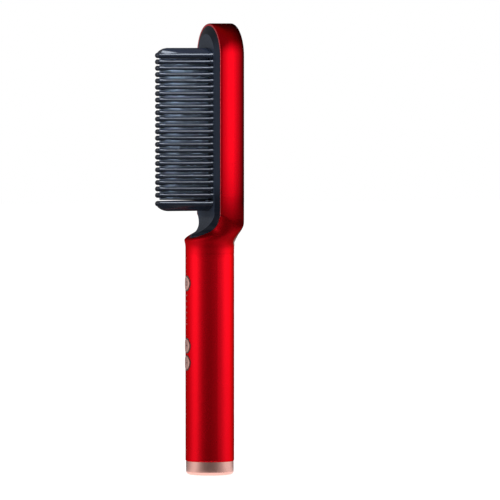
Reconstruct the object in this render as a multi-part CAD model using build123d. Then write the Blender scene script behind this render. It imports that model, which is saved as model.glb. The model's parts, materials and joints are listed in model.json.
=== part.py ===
from build123d import *
import math
import os

# Hot comb (heated straightening comb). Millimetres, +Z up along the handle axis.
# The origin is on the handle axis at the bottom face of the end cap.
# -Y is the front (teeth and buttons), +Y the back (trim ring and panel), X the width.

# ---- Overall envelope ----
overall_height = 285.0
end_cap_height = 9.0
handle_radius = 15.4
handle_wall = 2.0
head_length = 143.2
head_half_width = 23.6
head_top_rise = 20.6
head_bottom_rise = 21.0
head_front_y = -0.7
head_back_inset = 0.2
head_wall = 3.6
back_edge_radius = 1.4

# ---- Scoop under the comb: a vertical face, an arc and a slope down to the handle front ----
scoop_rise = 18.6
scoop_radius = 8.0
scoop_turn = 65.0
front_skin = 1.3
front_skin_radius = 2.5
shoulder_span = 22.0
neck_stations = 12
neck_run_out = 4.0
neck_sharpness = 8
shoulder_softness = 1.2
join_tolerance = 0.001

# ---- Comb bezel and the opening it fills ----
rim_width = 1.6
bezel_clearance = 0.1
bezel_proud = 1.9
bezel_bevel_width = 5.1
bezel_sweep_radius = 12.0
bezel_sweep_turn = 70.0
bezel_sweep_rise = 21.9
bezel_tip_rise = 9.1
bezel_end_fade = 2.6
pocket_depth = 3.6
web_thickness = 2.0
web_window_margin = 7.4
opening_spring_rise = 22.7
opening_tip_rise = 7.9
opening_narrowing = 0.6

# ---- Guard combs ----
tooth_pitch = 4.0
tooth_tip_y = -35.6
tooth_root_radius = 1.3
tooth_mid_radius = 1.1
tooth_tip_radius = 1.65
tooth_collar_radius = 1.6
tooth_collar_length = 1.3
tooth_neck_length = 6.5
first_tooth_drop = 24.3
comb_foot_margin = 12.0
tooth_root_x = 12.8
tooth_tip_x = 2.2
guard_base_inner_x = 4.9
guard_base_outer_x = 14.6
guard_base_recess = 0.1
guard_flange = 1.2
guard_fit = 0.15
fin_inner_gap = 3.9
fin_thickness = 4.9
fin_side_thickness = 0.5
fin_edge_overhang = 1.0
fin_flange_half_width = 13.6
fin_tip_radius = 7.5
fin_tip_setback = 0.4
fin_rib_radius = 1.75
fin_rib_inset = 0.15
fin_rib_collar = 0.25
fin_rib_gap = 0.15

# ---- Heated comb, heaters and their carrier ----
heater_bar_fit = 0.3
heater_bar_front_y = -1.4
heated_tooth_setback = 2.2
heated_root_width = 6.4
heated_root_thickness = 2.6
heated_tip_width = 2.2
heated_tip_thickness = 1.8
heated_base_half_width = 9.4
heated_base_thickness = 2.2
carrier_thickness = 2.6
carrier_half_width = 19.7
carrier_fit = 0.3
carrier_end_margin = 1.0
heater_half_width = 7.6
heater_thickness = 2.2
heater_gap = 8.0
heater_end_margin = 8.0
mica_thickness = 0.3
mica_margin = 0.6
clamp_thickness = 0.8
clamp_half_width = 13.4
clamp_ear_half_width = 3.0
clamp_boss_radius = 2.1
screw_radius = 1.0
screw_hole_gap = 0.05
screw_head_radius = 1.7
screw_head_height = 1.2
carrier_screw_x = 17.9
carrier_screw_depth = 2.8
thermistor_radius = 1.05
thermistor_length = 6.0
thermal_fuse_radius = 1.05
sensor_spacing = 4.4
thermal_fuse_length = 10.0

# ---- Back trim ring and panel ----
ring_inset = 1.5
ring_lip_width = 0.8
ring_band_width = 3.8
ring_thickness = 2.3
ring_band_recess = 0.7
ring_fit = 0.08
ring_skirt_y = 6.0
panel_gap = 0.25
panel_dome_radius = 140.0
panel_crown = 0.3
panel_thickness = 1.8
panel_flange = 1.3
panel_flange_gap = 0.15
panel_flange_thickness = 0.8
panel_leg_width = 6.0
panel_leg_thickness = 1.4
panel_leg_spacing = 44.0

# ---- Chassis and boards in the handle ----
chassis_clearance = 0.15
chassis_wall = 1.8
chassis_seat_gap = 0.1
shoulder_gap = 0.1
control_board_y = -5.8
board_thickness = 1.4
board_edge_fit = 0.3
control_board_drop = 9.8
control_board_length = 72.0
power_board_y = 3.6
power_board_rise = 11.0
power_board_drop = 21.8
rail_width = 3.2
rail_thickness = 1.6
board_boss_x = 7.4
board_boss_radius = 2.1
board_boss_fit = 0.3
board_screw_margin_low = 6.0
board_screw_margin_high = 5.0
part_height_on_board = 5.6
terminal_height = 4.4
board_part_half_width = 5.0
board_end_margin = 2.5
input_terminal_length = 7.0
line_fuse_radius = 2.2
capacitor_length = 12.5
choke_hole_radius = 1.6
relay_length = 15.0
output_terminal_length = 8.0
bridge_height = 12.0
bridge_thickness = 6.0
plug_post_length = 10.0
tongue_half_width = 3.2
tongue_thickness = 1.6
tongue_y = 7.0
tongue_rise = 19.7
tongue_screw_rise = 16.2
tongue_boss_radius = 2.6

# ---- Buttons, switches and indicator lights ----
power_button_drop = 20.8
plus_button_drop = 60.2
minus_button_drop = 71.0
button_radius = 4.25
button_proud = 0.35
button_travel = 0.6
button_fit = 0.06
button_dish_depth = 0.35
button_rim_width = 0.7
button_flange_radius = 5.1
button_flange_thickness = 1.0
button_rest_gap = 0.1
collar_width = 0.6
collar_proud = 0.05
collar_back_y = -12.0
icon_depth = 0.3
icon_stroke = 0.5
icon_size = 1.25
stem_radius = 1.6
stem_engagement = 1.2
switch_size = 6.0
switch_height = 2.5
switch_floor_gap = 0.3
indicator_count = 6
indicator_pitch = 3.6
indicator_drop = 37.4
indicator_radius = 0.55
indicator_fit = 0.05
light_bar_half_width = 1.6
light_bar_thickness = 1.2
led_height = 0.7
led_gap = 0.3

# ---- End cap, plug and cord swivel ----
end_cap_radius = 15.05
end_cap_wall = 1.4
end_cap_floor = 2.0
end_cap_round = 2.0
end_cap_chamfer = 0.35
end_cap_seam = 0.1
plug_fit = 0.08
plug_top = 18.9
plug_plate_top = 8.0
plug_wall = 2.0
plug_post_radius = 2.1
plug_screw_inset = 1.85
plug_screw_length = 22.0
swivel_bottom = 0.0
swivel_radius = 6.0
swivel_fit = 0.06
swivel_flange_radius = 7.4
swivel_flange_gap = 0.15
swivel_clip_radius = 7.2
swivel_clip_thickness = 1.0
swivel_neck_radius = 4.9
swivel_neck_top = 14.4
cord_bore_radius = 3.2
cord_bore_length = 12.0
core_hole_radius = 1.8
slip_ring_radius = 5.6
slip_ring_height = 1.5
brush_gap = 0.2
brush_half_width = 1.2
brush_tab_thickness = 1.0
wire_radius = 0.75
lead_radius = 0.5
lead_clearance = 1.4

# ---- Derived places ----
head_bottom = overall_height - head_length
head_bottom_spring = head_bottom + head_bottom_rise
head_top_spring = overall_height - head_top_rise
bore_radius = handle_radius - handle_wall
scoop_start_height = head_bottom + scoop_rise
bezel_sweep_height = head_bottom + bezel_sweep_rise
bezel_tip_height = head_bottom + bezel_tip_rise
opening_spring_height = head_bottom + opening_spring_rise
opening_tip_height = head_bottom + opening_tip_rise
power_button_height = head_bottom - power_button_drop
plus_button_height = head_bottom - plus_button_drop
minus_button_height = head_bottom - minus_button_drop
indicator_centre_height = head_bottom - indicator_drop
head_back_y = handle_radius - head_back_inset
web_front_y = head_front_y + pocket_depth
web_back_y = web_front_y + web_thickness
plateau_y = head_front_y - bezel_proud
guard_front_y = plateau_y + guard_base_recess
first_tooth_height = overall_height - first_tooth_drop
row_span = first_tooth_height - opening_spring_height - comb_foot_margin
guard_tooth_count = int(row_span / tooth_pitch) + 1
heated_tooth_count = guard_tooth_count + 1
heated_first_tooth = first_tooth_height + tooth_pitch / 2
heated_last_tooth = heated_first_tooth - (heated_tooth_count - 1) * tooth_pitch
tooth_lean = math.atan2(tooth_root_x - tooth_tip_x, guard_front_y - tooth_tip_y - tooth_tip_radius)
tooth_slant = (tooth_root_x - tooth_tip_x) / math.sin(tooth_lean)
fin_top_inner = first_tooth_height + fin_inner_gap
fin_bottom_inner = heated_last_tooth - tooth_pitch / 2 - fin_side_thickness - tooth_root_radius / 2
carrier_back_y = web_back_y + carrier_thickness
heated_base_back_y = web_back_y + heated_base_thickness
heater_back_y = heated_base_back_y + heater_thickness
clamp_front_y = heater_back_y + mica_thickness
clamp_back_y = clamp_front_y + clamp_thickness
control_board_front_y = control_board_y - board_thickness
power_board_front_y = power_board_y - board_thickness
chassis_bottom = plug_top + chassis_seat_gap
control_board_top = head_bottom - control_board_drop
control_board_bottom = control_board_top - control_board_length
power_board_bottom = chassis_bottom + power_board_rise
power_board_top = head_bottom - power_board_drop
power_parts = (
    input_terminal_length,
    2 * line_fuse_radius,
    capacitor_length,
    2 * board_part_half_width,
    relay_length,
    output_terminal_length,
)
power_part_room = power_board_top - power_board_bottom - board_end_margin
power_part_gap = (power_part_room - sum(power_parts)) / (len(power_parts) - 1)
board_screw_low = control_board_bottom + board_screw_margin_low
board_screw_high = control_board_top - board_screw_margin_high
tongue_top = head_bottom + tongue_rise
tongue_screw_height = head_bottom + tongue_screw_rise
chassis_outer = bore_radius - chassis_clearance
chassis_inner = chassis_outer - chassis_wall
chassis_top = head_bottom - shoulder_gap
plug_screw_x = chassis_inner - plug_screw_inset
button_heights = (power_button_height, plus_button_height, minus_button_height)
button_face_y = -(handle_radius + button_proud)
collar_radius = button_radius + button_fit + collar_width
flange_front_y = collar_back_y + button_rest_gap
flange_back_y = flange_front_y + button_flange_thickness
switch_front_y = control_board_front_y - switch_height
ring_inner_inset = ring_inset + ring_lip_width + ring_band_width
panel_inset = ring_inner_inset + panel_gap
heater_low_z = fin_bottom_inner + heater_end_margin
heater_high_z = fin_top_inner - heater_end_margin
heater_mid_z = (heater_low_z + heater_high_z) / 2


# ---- Small builders ----
def box(x0, x1, y0, y1, z0, z1):
    size = Box(x1 - x0, y1 - y0, z1 - z0)
    return Pos((x0 + x1) / 2, (y0 + y1) / 2, (z0 + z1) / 2) * size


def rod_y(x, z, y0, y1, radius):
    return Pos(x, (y0 + y1) / 2, z) * Rot(90, 0, 0) * Cylinder(radius, y1 - y0)


def rod_z(x, y, z0, z1, radius):
    return Pos(x, y, (z0 + z1) / 2) * Cylinder(radius, z1 - z0)


def rod_x(y, z, x0, x1, radius):
    return Pos((x0 + x1) / 2, y, z) * Rot(0, 90, 0) * Cylinder(radius, x1 - x0)


def prism_y(face, y0, y1):
    """A face drawn in X and Z, as a solid from y0 to y1."""
    return extrude(Plane.XZ.offset(-y1) * face, amount=y1 - y0)


def group(solids):
    """Separate solids kept together in one node."""
    found = []
    for item in solids:
        found += item.solids()
    return Compound(children=found)


def wire_tube(points, bends, radius):
    path = FilletPolyline(*points, radius=bends)
    start = path @ 0
    section = Plane(origin=start, z_dir=path % 0) * Circle(radius)
    return sweep(section, path=path)


# ---- The outer envelope, which housing, ring and cavity share ----
def swept_depth(height, top_y, start_height, radius, turn_degrees):
    """Depth at a height of a vertical face that turns forward along an arc, then slopes."""
    turn = math.radians(turn_degrees)
    arc_end = start_height - radius * math.sin(turn)
    if height >= start_height:
        return top_y
    if height >= arc_end:
        return top_y - radius + math.sqrt(radius**2 - (start_height - height) ** 2)
    return top_y - radius + radius * math.cos(turn) - (arc_end - height) * math.tan(turn)


def scoop_front(height):
    """Depth of the scoop surface at a height."""
    return swept_depth(height, head_front_y, scoop_start_height, scoop_radius, scoop_turn)


def neck_station(height):
    """Half width, front, back and corner radii of the neck's section at a height."""
    rise = min(1, max(0, (height - head_bottom) / head_bottom_rise))
    ellipse = head_half_width * math.sqrt(1 - (1 - rise) ** 2)
    half_width = (handle_radius**neck_sharpness + ellipse**neck_sharpness) ** (1 / neck_sharpness)
    half_width += (ellipse - half_width) * rise**2
    above = (scoop_front(height) - front_skin + handle_radius) / shoulder_softness
    lift = math.log1p(math.exp(above)) if above < 30 else above
    front = -handle_radius + shoulder_softness * lift
    back = handle_radius + (head_back_y - handle_radius) * rise**2 * (3 - 2 * rise)
    late = min(1, rise / 0.8)
    back_radius = back_edge_radius + (handle_radius - back_edge_radius) * (1 - late**2) ** 1.4
    shoulder = min(1, max(0, (height - head_bottom) / shoulder_span))
    front_radius = front_skin_radius + (handle_radius - front_skin_radius) * (1 - shoulder**2) ** 0.55
    return half_width, front, back, front_radius, back_radius


def neck_section(height, inset):
    """A rounded rectangle that turns from the handle's circle into the head's section."""
    flat = 0.05
    least = 0.3
    half_width, front, back, front_radius, back_radius = neck_station(height)
    a = half_width - inset
    front += inset
    back -= inset
    rf = min(max(front_radius - inset, least), a - flat)
    rb = min(max(back_radius - inset, least), a - flat)
    squeeze = min(1, (back - front - 2 * flat) / (rf + rb))
    rf *= squeeze
    rb *= squeeze
    k = math.sqrt(0.5)

    def at(x, y):
        return Vector(x, y, height)

    return Wire(
        [
            Line(at(a, front + rf), at(a, back - rb)),
            ThreePointArc(at(a, back - rb), at(a - rb + k * rb, back - rb + k * rb), at(a - rb, back)),
            Line(at(a - rb, back), at(rb - a, back)),
            ThreePointArc(at(rb - a, back), at(rb - a - k * rb, back - rb + k * rb), at(-a, back - rb)),
            Line(at(-a, back - rb), at(-a, front + rf)),
            ThreePointArc(at(-a, front + rf), at(rf - a - k * rf, front + rf - k * rf), at(rf - a, front)),
            Line(at(rf - a, front), at(a - rf, front)),
            ThreePointArc(at(a - rf, front), at(a - rf + k * rf, front + rf - k * rf), at(a, front + rf)),
        ]
    )


def neck_heights():
    step = (head_bottom_rise - 1) / (neck_stations - 1)
    heights = [head_bottom - neck_run_out, head_bottom - neck_run_out * 0.4]
    heights += [head_bottom + 1 + i * step for i in range(neck_stations)]
    return heights + [head_bottom_spring + neck_run_out * share for share in (0.2, 0.45, 0.75)]


def head_end_face(inset, low):
    """The head's outline in X and Z above a height, with its elliptical top."""
    a = head_half_width - inset
    top = EllipticalCenterArc((0, head_top_spring), a, head_top_rise - inset, start_angle=0, arc_size=180)
    sides = [Line((-a, head_top_spring), (-a, low)), Line((-a, low), (a, low)), Line((a, low), (a, head_top_spring))]
    return make_face([top] + sides)


def head_face(inset):
    """The head's whole outline in X and Z, with elliptical ends."""
    a = head_half_width - inset
    top = EllipticalCenterArc((0, head_top_spring), a, head_top_rise - inset, start_angle=0, arc_size=180)
    low = EllipticalCenterArc((0, head_bottom_spring), a, head_bottom_rise - inset, start_angle=180, arc_size=180)
    sides = [
        Line((-a, head_top_spring), (-a, head_bottom_spring)),
        Line((a, head_bottom_spring), (a, head_top_spring)),
    ]
    return make_face([top, sides[0], low, sides[1]])


def envelope(inset):
    """Handle, neck and head as one body, every face moved in by inset."""
    heights = neck_heights()
    least = 0.3
    neck = Solid.make_loft([neck_section(height, inset) for height in heights], ruled=False)
    front = head_front_y - front_skin + inset
    back = head_back_y - inset
    head = prism_y(head_end_face(inset, heights[-1]), front, back)

    def end_edges(depth):
        return [e for e in head.edges() if abs(e.center().Y - depth) < 0.01 and e.center().Z > heights[-1] + 0.01]

    head = fillet(end_edges(back), max(back_edge_radius - inset, least))
    head = fillet(end_edges(front), max(front_skin_radius - inset, least))
    foot = neck.faces().sort_by(Axis.Z)[0]
    handle = extrude(foot, amount=heights[0] - end_cap_height, dir=(0, 0, -1))
    return head.solids()[0].fuse(neck, handle.solids()[0], tol=join_tolerance)


def front_region(back_by):
    """Everything in front of the scoop surface, when that is moved back by a distance."""
    reach = 60.0
    turn = math.radians(scoop_turn)
    radius = scoop_radius + back_by
    centre_y = head_front_y - scoop_radius

    def on_arc(angle):
        return centre_y + radius * math.cos(angle), scoop_start_height - radius * math.sin(angle)

    start, middle, end = on_arc(0), on_arc(turn / 2), on_arc(turn)
    foot = (end[0] - reach * math.sin(turn), end[1] - reach * math.cos(turn))
    ceiling = overall_height + reach
    outline = [
        Line((start[0], ceiling), start),
        ThreePointArc(start, middle, end),
        Line(end, foot),
        Line(foot, (foot[0], ceiling)),
        Line((foot[0], ceiling), (start[0], ceiling)),
    ]
    return extrude(Plane.YZ * make_face(outline), amount=2 * head_half_width, both=True)


def opening_half_width(height, inset):
    """Half width of the comb opening below its spring line."""
    drop = min(1, max(0, (opening_spring_height - height) / (opening_spring_height - opening_tip_height)))
    return (head_half_width - inset) * (1 - opening_narrowing * drop**1.2) * math.sqrt(1 - drop**12)


def opening_face(inset):
    """The comb opening in X and Z: the head's outline above, narrowing to a tip below."""
    a = head_half_width - inset
    tip = opening_tip_height + inset - rim_width
    top = EllipticalCenterArc((0, head_top_spring), a, head_top_rise - inset, start_angle=0, arc_size=180)
    fall = opening_spring_height - opening_tip_height
    knees = [opening_spring_height - fall * share for share in (0.15, 0.32, 0.5, 0.68, 0.82, 0.93)]
    right = [(opening_half_width(z, inset), z) for z in knees]
    left = [(-x, z) for x, z in right]
    curve_left = Spline((-a, opening_spring_height), *left, (0, tip), tangents=[(0, -1), (1, 0)])
    curve_right = Spline((0, tip), *reversed(right), (a, opening_spring_height), tangents=[(1, 0), (0, 1)])
    side_left = Line((-a, head_top_spring), (-a, opening_spring_height))
    side_right = Line((a, opening_spring_height), (a, head_top_spring))
    return make_face([top, side_left, curve_left, curve_right, side_right])


# ---- Housing ----
def carrier_screw_places():
    low = fin_bottom_inner + tooth_pitch
    high = fin_top_inner - tooth_pitch
    return [(side * carrier_screw_x, z) for side in (-1, 1) for z in (low, (low + high) / 2, high)]


def web_window():
    return prism_y(head_end_face(web_window_margin, window_low()), web_front_y - 1, web_back_y + 1)


def window_low():
    return fin_bottom_inner - fin_thickness - guard_flange - 2 * guard_fit


def indicator_heights():
    first = indicator_centre_height + indicator_pitch * (indicator_count - 1) / 2
    return [first - indicator_pitch * i for i in range(indicator_count)]


def make_housing():
    reach = 40.0
    pocket = prism_y(opening_face(rim_width), -reach, reach) & front_region(pocket_depth)
    rebate = prism_y(head_face(ring_inset), ring_skirt_y - ring_fit, reach) - inner_envelope(ring_thickness)
    cavity = inner_envelope(head_wall) - front_region(pocket_depth + web_thickness)
    back_opening = prism_y(head_face(panel_inset - panel_flange - panel_flange_gap), head_back_y - head_wall - 1, reach)
    bore = rod_z(0, 0, end_cap_height - 1, head_bottom, bore_radius)
    shell = envelope(0) - front_region(0)
    boss = rod_y(0, tongue_screw_height, 0, tongue_y, tongue_boss_radius) - front_region(pocket_depth + 1)
    shell = shell - pocket - rebate - cavity - back_opening - bore - web_window() + boss
    holes = [rod_y(x, z, web_front_y - 1, web_back_y + 1, screw_radius + screw_hole_gap) for x, z in carrier_screw_places()]
    holes += [rod_y(0, z, -reach, 0, collar_radius) for z in button_heights]
    holes += [rod_y(0, z, -reach, 0, indicator_radius + indicator_fit) for z in indicator_heights()]
    holes.append(rod_y(0, tongue_screw_height, 3.0, reach, screw_radius + screw_hole_gap))
    for hole in holes:
        shell = shell - hole
    return shell


_envelopes = {}


def inner_envelope(inset):
    if inset not in _envelopes:
        _envelopes[inset] = envelope(inset)
    return _envelopes[inset]


# ---- Back trim ring and panel ----
def make_back_trim_ring():
    reach = 40.0
    skin = inner_envelope(ring_fit) - inner_envelope(ring_thickness - ring_fit)
    outline = prism_y(head_face(ring_inset + ring_fit), ring_skirt_y, reach)
    hole = prism_y(head_face(ring_inner_inset), -reach, reach)
    band = prism_y(head_face(ring_inset + ring_lip_width), -reach, reach)
    dished = band - inner_envelope(ring_band_recess)
    return (skin & outline) - hole - dished


def make_back_panel():
    reach = 40.0
    crown_y = head_back_y + panel_crown
    dome = rod_z(0, crown_y - panel_dome_radius, head_bottom, overall_height, panel_dome_radius)
    hollow = rod_z(0, crown_y - panel_dome_radius, 0, 2 * overall_height, panel_dome_radius - panel_thickness)
    cover = (prism_y(head_face(panel_inset), 0, reach) & dome) - hollow
    flange_skin = inner_envelope(ring_thickness) - inner_envelope(ring_thickness + panel_flange_thickness)
    flange = prism_y(head_face(panel_inset - panel_flange), head_back_y / 4, reach) & flange_skin
    flange = flange - prism_y(head_face(panel_inset + panel_thickness), -reach, reach)
    half_width = head_half_width - panel_inset
    legs = [
        box(
            side * (half_width - panel_leg_thickness / 2) - panel_leg_thickness / 2,
            side * (half_width - panel_leg_thickness / 2) + panel_leg_thickness / 2,
            carrier_back_y,
            head_back_y - ring_thickness,
            heater_mid_z + step * panel_leg_spacing - panel_leg_width / 2,
            heater_mid_z + step * panel_leg_spacing + panel_leg_width / 2,
        )
        for side in (-1, 1)
        for step in (-0.5, 0.5)
    ]
    panel = cover + flange
    for leg in legs:
        panel = panel + leg
    return panel


# ---- Comb bezel and guard combs ----
def fin_face(inner, outward, grow=0.0, half=guard_base_outer_x):
    """D-shaped plan of an end guard: flat on the tooth side, curved outside."""
    half = half + grow
    flat = inner - outward * grow
    side = inner + outward * (fin_side_thickness + grow)
    peak = inner + outward * (fin_thickness + grow)
    outline = [
        Line((-half, flat), (half, flat)),
        Line((half, flat), (half, side)),
        ThreePointArc((half, side), (0, peak), (-half, side)),
        Line((-half, side), (-half, flat)),
    ]
    return make_face(outline)


def guard_window_face(grow):
    middle = Pos(0, (fin_top_inner + fin_bottom_inner) / 2) * Rectangle(
        2 * (guard_base_outer_x + grow), fin_top_inner - fin_bottom_inner + 2 * grow
    )
    return middle + fin_face(fin_top_inner, 1, grow) + fin_face(fin_bottom_inner, -1, grow)


def bezel_ridge():
    """Raised middle of the bezel: sloping sides up to a flat, following the scoop."""
    root = 1.0
    joint = opening_spring_height + tooth_pitch
    low = head_end_face(rim_width, joint)
    high = head_end_face(rim_width + bezel_bevel_width, joint)
    wires = []
    for face, depth in ((low, head_front_y), (high, plateau_y)):
        wires.append((Plane.XZ.offset(-depth) * face).face().outer_wire())
    top = Solid.make_loft(wires, ruled=True)
    top = top + prism_y(low, head_front_y, head_front_y + root)
    spread = opening_spring_height - opening_tip_height
    heights = [joint, (joint + opening_spring_height) / 2, opening_spring_height]
    heights += [opening_spring_height - spread * share for share in (0.1, 0.2, 0.32, 0.44, 0.56, 0.68, 0.79, 0.86, 0.92, 0.96)]
    return top + Solid.make_loft([ridge_section(height, root) for height in heights], ruled=False)


def ridge_section(height, root):
    least = 0.5
    wide = max(opening_half_width(height, rim_width), 3 * least)
    drop = min(1, max(0, (opening_spring_height - height) / (opening_spring_height - bezel_tip_height)))
    crest = head_half_width - rim_width - bezel_bevel_width
    narrow = min(max(crest * (1 - drop**1.15) ** 0.9, least), wide - least)
    front = scoop_front(height)
    peak = swept_depth(height, plateau_y, bezel_sweep_height, bezel_sweep_radius, bezel_sweep_turn)
    fade = bezel_end_fade * max(0, height - opening_tip_height - least) ** 0.8
    peak = max(peak, front - fade)
    corners = [(wide, front), (narrow, peak), (-narrow, peak), (-wide, front)]
    corners += [(-wide, front + root), (wide, front + root)]
    points = [Vector(x, y, height) for x, y in corners]
    return Wire([Line(points[i], points[(i + 1) % len(points)]) for i in range(len(points))])


def make_comb_bezel():
    reach = 40.0
    fit = rim_width + bezel_clearance
    outline = prism_y(opening_face(fit), -reach, reach)
    base = (outline - front_region(0)) & front_region(pocket_depth)
    bezel = base + (bezel_ridge() & outline)
    bezel = bezel - prism_y(guard_window_face(guard_fit), -reach, reach)
    for x, z in carrier_screw_places():
        bezel = bezel - rod_y(x, z, web_front_y - carrier_screw_depth, web_front_y + 1, screw_radius + screw_hole_gap)
    return bezel


def leaning(piece, side, height):
    """Set a piece that runs along -Y from the origin on the guard's face, leaning towards the middle."""
    return Pos(side * tooth_root_x, guard_front_y, height) * Rot(0, 0, -side * math.degrees(tooth_lean)) * piece


def ahead_of(y):
    """All the room in front of a depth."""
    reach = 2 * overall_height
    return box(-reach, reach, 2 * tooth_tip_y, y, -reach, reach)


def make_tooth():
    """One guard tooth along -Y: collar, slim shaft and a rounded bulb at the tip."""
    root = tooth_collar_radius
    length = tooth_slant + tooth_tip_radius
    slim = length - tooth_neck_length
    k = math.sqrt(0.5)
    shaft_start = tooth_collar_length + tooth_collar_radius - tooth_root_radius
    outline = [
        Line((0, root), (tooth_collar_radius, root)),
        Line((tooth_collar_radius, root), (tooth_collar_radius, -tooth_collar_length)),
        Line((tooth_collar_radius, -tooth_collar_length), (tooth_root_radius, -shaft_start)),
        Line((tooth_root_radius, -shaft_start), (tooth_mid_radius, -slim)),
        Spline((tooth_mid_radius, -slim), (tooth_tip_radius, -tooth_slant), tangents=[(0, -1), (0, -1)]),
        ThreePointArc(
            (tooth_tip_radius, -tooth_slant),
            (tooth_tip_radius * k, -tooth_slant - tooth_tip_radius * k),
            (0, -length),
        ),
        Line((0, -length), (0, root)),
    ]
    return revolve(make_face(outline), Axis.Y)


def make_guard_comb(side):
    low = fin_bottom_inner + guard_fit
    high = fin_top_inner - guard_fit
    x0, x1 = sorted((side * guard_base_inner_x, side * guard_base_outer_x))
    comb = box(x0, x1, guard_front_y, web_front_y, low, high)
    f0, f1 = sorted((side * guard_base_inner_x, side * (guard_base_outer_x + guard_flange)))
    comb = comb + box(f0, f1, web_front_y, web_back_y, low, high)
    tooth = leaning(make_tooth(), side, 0) & ahead_of(guard_front_y + guard_fit)
    teeth = [Pos(0, 0, first_tooth_height - i * tooth_pitch) * tooth for i in range(guard_tooth_count)]
    return comb + teeth


def make_fin_rib(side, height):
    """Round rib along a fin's edge, leaning as the teeth do: collar, rod and ball tip."""
    root = tooth_collar_radius
    front = tooth_slant + tooth_tip_radius - fin_rib_radius
    rib = rod_y(0, 0, -front, root, fin_rib_radius)
    collar = rod_y(0, 0, -tooth_collar_length, root, fin_rib_radius + fin_rib_collar)
    rib = rib + collar + Pos(0, -front, 0) * Sphere(fin_rib_radius)
    return leaning(rib, side, height) & ahead_of(guard_front_y - fin_rib_gap)


def make_guard_end(inner, outward):
    """End guard: a D-shaped fin that narrows towards its rounded tip, with a rib along each edge."""
    seat = prism_y(fin_face(inner, outward), guard_front_y, web_front_y)
    wires = []
    for x, y in ((tooth_root_x, guard_front_y), (tooth_tip_x, tooth_tip_y)):
        plan = fin_face(inner, outward, half=x + fin_edge_overhang)
        wires.append((Plane.XZ.offset(-y) * plan).face().outer_wire())
    blade = Solid.make_loft(wires, ruled=True)
    peak = inner + outward * fin_thickness
    k = 1 - math.sqrt(0.5)
    tip = tooth_tip_y + fin_tip_setback
    corner = [
        Line((tip + fin_tip_radius, peak), (tip - 1, peak)),
        Line((tip - 1, peak), (tip - 1, peak - outward * fin_tip_radius)),
        Line((tip - 1, peak - outward * fin_tip_radius), (tip, peak - outward * fin_tip_radius)),
        ThreePointArc(
            (tip, peak - outward * fin_tip_radius),
            (tip + k * fin_tip_radius, peak - outward * k * fin_tip_radius),
            (tip + fin_tip_radius, peak),
        ),
    ]
    blade = blade - extrude(Plane.YZ * make_face(corner), amount=2 * head_half_width, both=True)
    blade = seat + blade
    for side in (-1, 1):
        blade = blade + make_fin_rib(side, inner + outward * fin_rib_inset)
    outer = inner + outward * (fin_thickness + guard_flange)
    shelf = sorted((inner, outer))
    half = fin_flange_half_width
    return blade + box(-half, half, web_front_y, web_back_y, shelf[0], shelf[1])


# ---- Heated comb and what holds it ----
def make_heating_comb():
    half = guard_base_inner_x - heater_bar_fit
    low = fin_bottom_inner + heater_bar_fit
    high = fin_top_inner - heater_bar_fit
    comb = box(-half, half, heater_bar_front_y, web_back_y, low, high)
    wide = heated_base_half_width
    comb = comb + box(-wide, wide, web_back_y, heated_base_back_y, low, high)
    tip = tooth_tip_y + heated_tooth_setback
    root = heater_bar_front_y + 0.5
    wires = []
    for width, thickness, y in (
        (heated_root_width, heated_root_thickness, root),
        (heated_tip_width, heated_tip_thickness, tip),
    ):
        wires.append((Plane.XZ.offset(-y) * SlotOverall(width, thickness)).face().outer_wire())
    tooth = Solid.make_loft(wires, ruled=True)
    tooth = fillet(tooth.faces().sort_by(Axis.Y)[0].edges(), heated_tip_thickness * 0.35)
    teeth = [Pos(0, 0, heated_first_tooth - i * tooth_pitch) * tooth for i in range(heated_tooth_count)]
    return comb + teeth


def clamp_screw_places():
    x = clamp_half_width - clamp_ear_half_width / 2 - screw_hole_gap
    return [(side * x, z) for side in (-1, 1) for z in (heater_low_z + 6.0, heater_high_z - 6.0)]


def make_comb_carrier():
    low = window_low() - carrier_end_margin
    high = fin_top_inner + fin_thickness + guard_flange
    frame = box(-carrier_half_width, carrier_half_width, web_back_y, carrier_back_y, low, high)
    corners = frame.edges().filter_by(Axis.Y)
    frame = fillet(corners, carrier_half_width * 0.4)
    half = heated_base_half_width + carrier_fit
    bottom = fin_bottom_inner + heater_bar_fit - carrier_fit
    top = fin_top_inner - heater_bar_fit + carrier_fit
    frame = frame - box(-half, half, web_back_y - 1, carrier_back_y + 1, bottom, top)
    for x, z in clamp_screw_places():
        frame = frame + rod_y(x, z, web_back_y, clamp_front_y, clamp_boss_radius)
        frame = frame - rod_y(x, z, web_back_y + 1, clamp_back_y, screw_radius + screw_hole_gap)
    for x, z in carrier_screw_places():
        frame = frame - rod_y(x, z, web_back_y - 1, carrier_back_y + 1, screw_radius + screw_hole_gap)
    return frame


def make_ceramic_heaters():
    ends = (heater_low_z, heater_mid_z - heater_gap / 2), (heater_mid_z + heater_gap / 2, heater_high_z)
    plates = [box(-heater_half_width, heater_half_width, heated_base_back_y, heater_back_y, a, b) for a, b in ends]
    return group(plates)


def make_mica_sheet():
    half = heater_half_width + mica_margin
    return box(-half, half, heater_back_y, clamp_front_y, heater_low_z - mica_margin, heater_high_z + mica_margin)


def make_heater_clamp():
    plate = box(
        -heater_half_width, heater_half_width, clamp_front_y, clamp_back_y, heater_low_z + 1, heater_high_z - 1
    )
    for z in {z for x, z in clamp_screw_places()}:
        ear = box(
            -clamp_half_width - 1,
            clamp_half_width + 1,
            clamp_front_y,
            clamp_back_y,
            z - clamp_ear_half_width,
            z + clamp_ear_half_width,
        )
        plate = plate + ear
    for x, z in clamp_screw_places():
        plate = plate - rod_y(x, z, clamp_front_y - 1, clamp_back_y + 1, screw_radius + screw_hole_gap)
    return plate


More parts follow.
